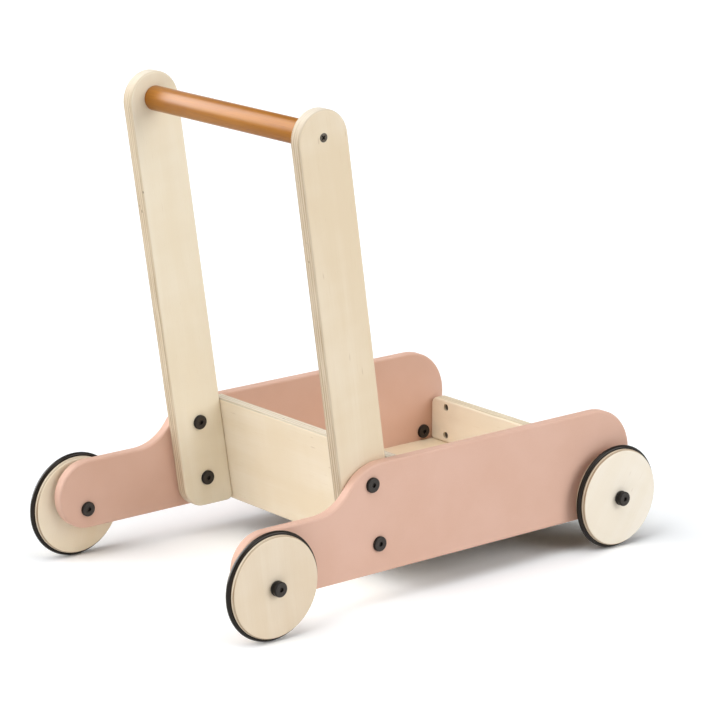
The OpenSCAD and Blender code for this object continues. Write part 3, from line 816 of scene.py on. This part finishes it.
def hub_collar(corner):
    """Collar on the wheel's outer face, with a narrower neck outboard under the bolt's head."""
    node = f"{corner}_hub_collar"
    middle = centre_of(node)
    outward = outward_at(corner)
    low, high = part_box(node)
    half = (high.y - low.y) / 2
    bore = AXLE_R + COLLAR_FIT
    inner, step, outer = -outward * half, outward * (half - NECK_T), outward * half
    bm = turned_ring(
        [(bore, inner), (COLLAR_R, inner), (COLLAR_R, step),
         (NECK_R, step), (NECK_R, outer), (bore, outer)],
        middle, ROUND_STEPS,
    )
    rims = [e for y in (inner, step) for e in ring_edges(bm, middle, COLLAR_R, y)]
    round_edges(bm, rims, COLLAR_EDGE_R, segments=3)
    new_piece(f"{corner}_collar", bm, black_nylon, "frame", "black_nylon", node)


def push_bar():
    low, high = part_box("push_bar")
    middle = (low + high) / 2
    length = high.y - low.y
    bm = bmesh.new()
    bmesh.ops.create_cone(
        bm, cap_ends=True, segments=BAR_STEPS, radius1=BAR_R, radius2=BAR_R, depth=length,
        matrix=Matrix.Translation(middle) @ Matrix.Rotation(QUARTER_TURN, 4, "X"),
    )
    ends = [e for y in (-length / 2, length / 2) for e in ring_edges(bm, middle, BAR_R, y)]
    round_edges(bm, ends, BAR_EDGE_R, segments=3)
    new_piece("bar", bm, caramel_stain, "frame", "stained_bar", "push_bar")


def bar_screws():
    middle = centre_of("bar_screws")
    low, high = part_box("bar_screws")
    bm = bmesh.new()
    for side, outward in SIDES.items():
        part = bmesh.new()
        screw_head(part)
        seat = Vector((middle.x, high.y if outward > 0 else low.y, middle.z))
        add_fastener(bm, part, seat, outward, SCREW_TURNS[side])
    new_piece("bar_end_screws", bm, dark_screw, "frame", "dark_screw", "bar_screws")


# Pieces on the frame and the wheels

for corner in CORNERS:
    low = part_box(f"{corner}_wheel_disc")[0]
    angle = DISC_GRAIN[corner]
    wheel_disc(corner, birch_ply(
        f"birch_{corner}_disc", f"{corner}_disc", Vector((math.sin(angle), 0, math.cos(angle))), AXIS_Y,
        low - SANDED_OFF * AXIS_Y, DISC_T + 2 * SANDED_OFF, DISC_LAYERS, banded=DISC_BANDING,
    ))
    wheel_tyre(corner)
    axle_heads(corner)
    hub_collar(corner)
for side in SIDES:
    post_bolts_and_nuts(side)
push_bar()
bar_screws()


# Finishes of the CAD nodes that stay

def dress(node, material):
    nodes[node].data.materials.clear()
    nodes[node].data.materials.append(material)


for side in SIDES:
    dress(f"{side}_side_panel", pink_paint)
    post = f"{side}_post"
    dress(post, birch_ply(f"birch_{post}", post, POST_UP, AXIS_Y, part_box(post)[0], PLY_T, PLY_LAYERS))
low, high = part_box("rear_panel")
rear_corner = min((v.co for v in nodes["rear_panel"].data.vertices), key=POST_FORWARD.dot).copy()
rear_corner.y = low.y
# Rear panel: painted seam shade at its butted ends and painted shade on its rounded edge
dress("rear_panel", birch_ply(
    "birch_rear_panel", "rear_panel", AXIS_Y, POST_FORWARD,
    rear_corner - SANDED_OFF * POST_FORWARD, PLY_T + 2 * SANDED_OFF, PLY_LAYERS, butted=high.y - low.y,
))
dress("front_panel", birch_ply(
    "birch_front_panel", "front_panel", AXIS_Y, AXIS_X,
    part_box("front_panel")[0], PLY_T, PLY_LAYERS,
))
# Tray floor: its underside darkened and cooled, a painted shade
dress("tray_floor", birch_ply(
    "birch_tray_floor", "tray_floor", AXIS_X, AXIS_Z,
    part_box("tray_floor")[0], FLOOR_T, FLOOR_LAYERS, back=UNDERSIDE_SHADE_TONE,
))
for node in ("rear_panel_dowels", "floor_dowels"):
    low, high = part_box(node)
    dress(node, birch_ply(f"beech_{node}", "dowels", AXIS_Y, AXIS_Z, low, high.z - low.z, 1))
dress("front_panel_bolts", black_coat)
dress("front_panel_nuts", dark_nut)
for corner in CORNERS:
    dress(f"{corner}_spacer_washer", black_nylon)
    dress(f"{corner}_wheel_bush", black_nylon)


# Stage: a white floor, soft light around it, and the camera

def seen_rays(tree, path):
    """Mask of the rays that show the stage itself: straight, in gloss or through something clear."""
    mirrored = reckon(tree, "MAXIMUM", path["Is Glossy Ray"], path["Is Transmission Ray"])
    return reckon(tree, "MAXIMUM", path["Is Camera Ray"], mirrored)


def white_floor():
    """Floor that is white to the camera where no shadow falls on it."""
    material, tree, shader = new_material("white_floor")
    spot = tree.nodes.new("ShaderNodeTexCoord").outputs
    cloud = noise(tree, spot["Object"], scale=0.7, detail=2.0)
    seen = seen_rays(tree, tree.nodes.new("ShaderNodeLightPath").outputs)
    paper = tint(tree, seen, tint(tree, cloud, *FLOOR_TONES), SEEN_FLOOR_TONE)
    matt = place_node(tree, "ShaderNodeBsdfDiffuse", {"Color": paper})
    tree.links.new(matt.outputs[0], tree.nodes["Material Output"].inputs["Surface"])
    tree.nodes.remove(shader)
    bm = bmesh.new()
    bmesh.ops.create_grid(bm, x_segments=4, y_segments=4, size=FLOOR_HALF)
    mesh = bpy.data.meshes.new("floor")
    bm.to_mesh(mesh)
    bm.free()
    mesh.materials.append(material)
    floor = bpy.data.objects.new("floor", mesh)
    bpy.context.scene.collection.objects.link(floor)


def way_to(round_x, up):
    """Direction at so many degrees round from +X and so many up."""
    turn, rise = math.radians(round_x), math.radians(up)
    return Vector((math.cos(rise) * math.cos(turn), math.cos(rise) * math.sin(turn), math.sin(rise)))


def soft_light():
    for name, (round_x, up, strength, spread) in SOFTBOXES.items():
        sun = bpy.data.lights.new(name, "SUN")
        sun.energy = strength
        sun.angle = math.radians(spread)
        lamp = bpy.data.objects.new(name, sun)
        lamp.rotation_euler = way_to(round_x, up).to_track_quat("Z", "Y").to_euler()
        bpy.context.scene.collection.objects.link(lamp)


def studio():
    """White surroundings that fade overhead, with a bright panel for reflections."""
    world = bpy.data.worlds.new("studio")
    world.use_nodes = True
    tree = world.node_tree
    tree.nodes.clear()
    path = tree.nodes.new("ShaderNodeLightPath").outputs
    seen = seen_rays(tree, path)
    sky = tree.nodes.new("ShaderNodeTexCoord").outputs["Generated"]
    towards = place_node(
        tree, "ShaderNodeVectorMath", {0: sky, 1: way_to(*GLINT_FROM)}, operation="DOT_PRODUCT",
    ).outputs["Value"]
    panel = ramp(tree, towards, *(math.cos(math.radians(angle)) for angle in GLINT_EDGE), 0.0, GLINT)
    room = ramp(tree, parts_of(tree, sky)[2], *STUDIO_FADE, 1.0, CEILING)
    room = reckon(tree, "MULTIPLY", seen, room)
    level = reckon(tree, "MULTIPLY_ADD", panel, path["Is Glossy Ray"], room)
    back = place_node(tree, "ShaderNodeBackground", {"Color": (1, 1, 1, 1), "Strength": level})
    out = tree.nodes.new("ShaderNodeOutputWorld")
    tree.links.new(back.outputs[0], out.inputs["Surface"])
    bpy.context.scene.world = world


def camera_behind():
    forward = Vector((
        math.cos(CAMERA_DIP) * math.cos(CAMERA_YAW),
        math.cos(CAMERA_DIP) * math.sin(CAMERA_YAW),
        -math.sin(CAMERA_DIP),
    ))
    right = Vector((math.sin(CAMERA_YAW), -math.cos(CAMERA_YAW), 0))
    up = right.cross(forward)
    c, s = math.cos(CAMERA_ROLL), math.sin(CAMERA_ROLL)
    right, up = c * right + s * up, c * up - s * right
    facing = Matrix((right, up, -forward)).transposed().to_4x4()
    camera = bpy.data.objects.new("camera", bpy.data.cameras.new("camera"))
    camera.data.lens = CAMERA_LENS
    camera.data.sensor_width = CAMERA_SENSOR
    camera.data.clip_end = CAMERA_REACH
    camera.matrix_world = Matrix.Translation(CAMERA_AT) @ facing
    bpy.context.scene.collection.objects.link(camera)
    bpy.context.scene.camera = camera


white_floor()
soft_light()
studio()
camera_behind()
bpy.context.scene.view_settings.view_transform = "Standard"
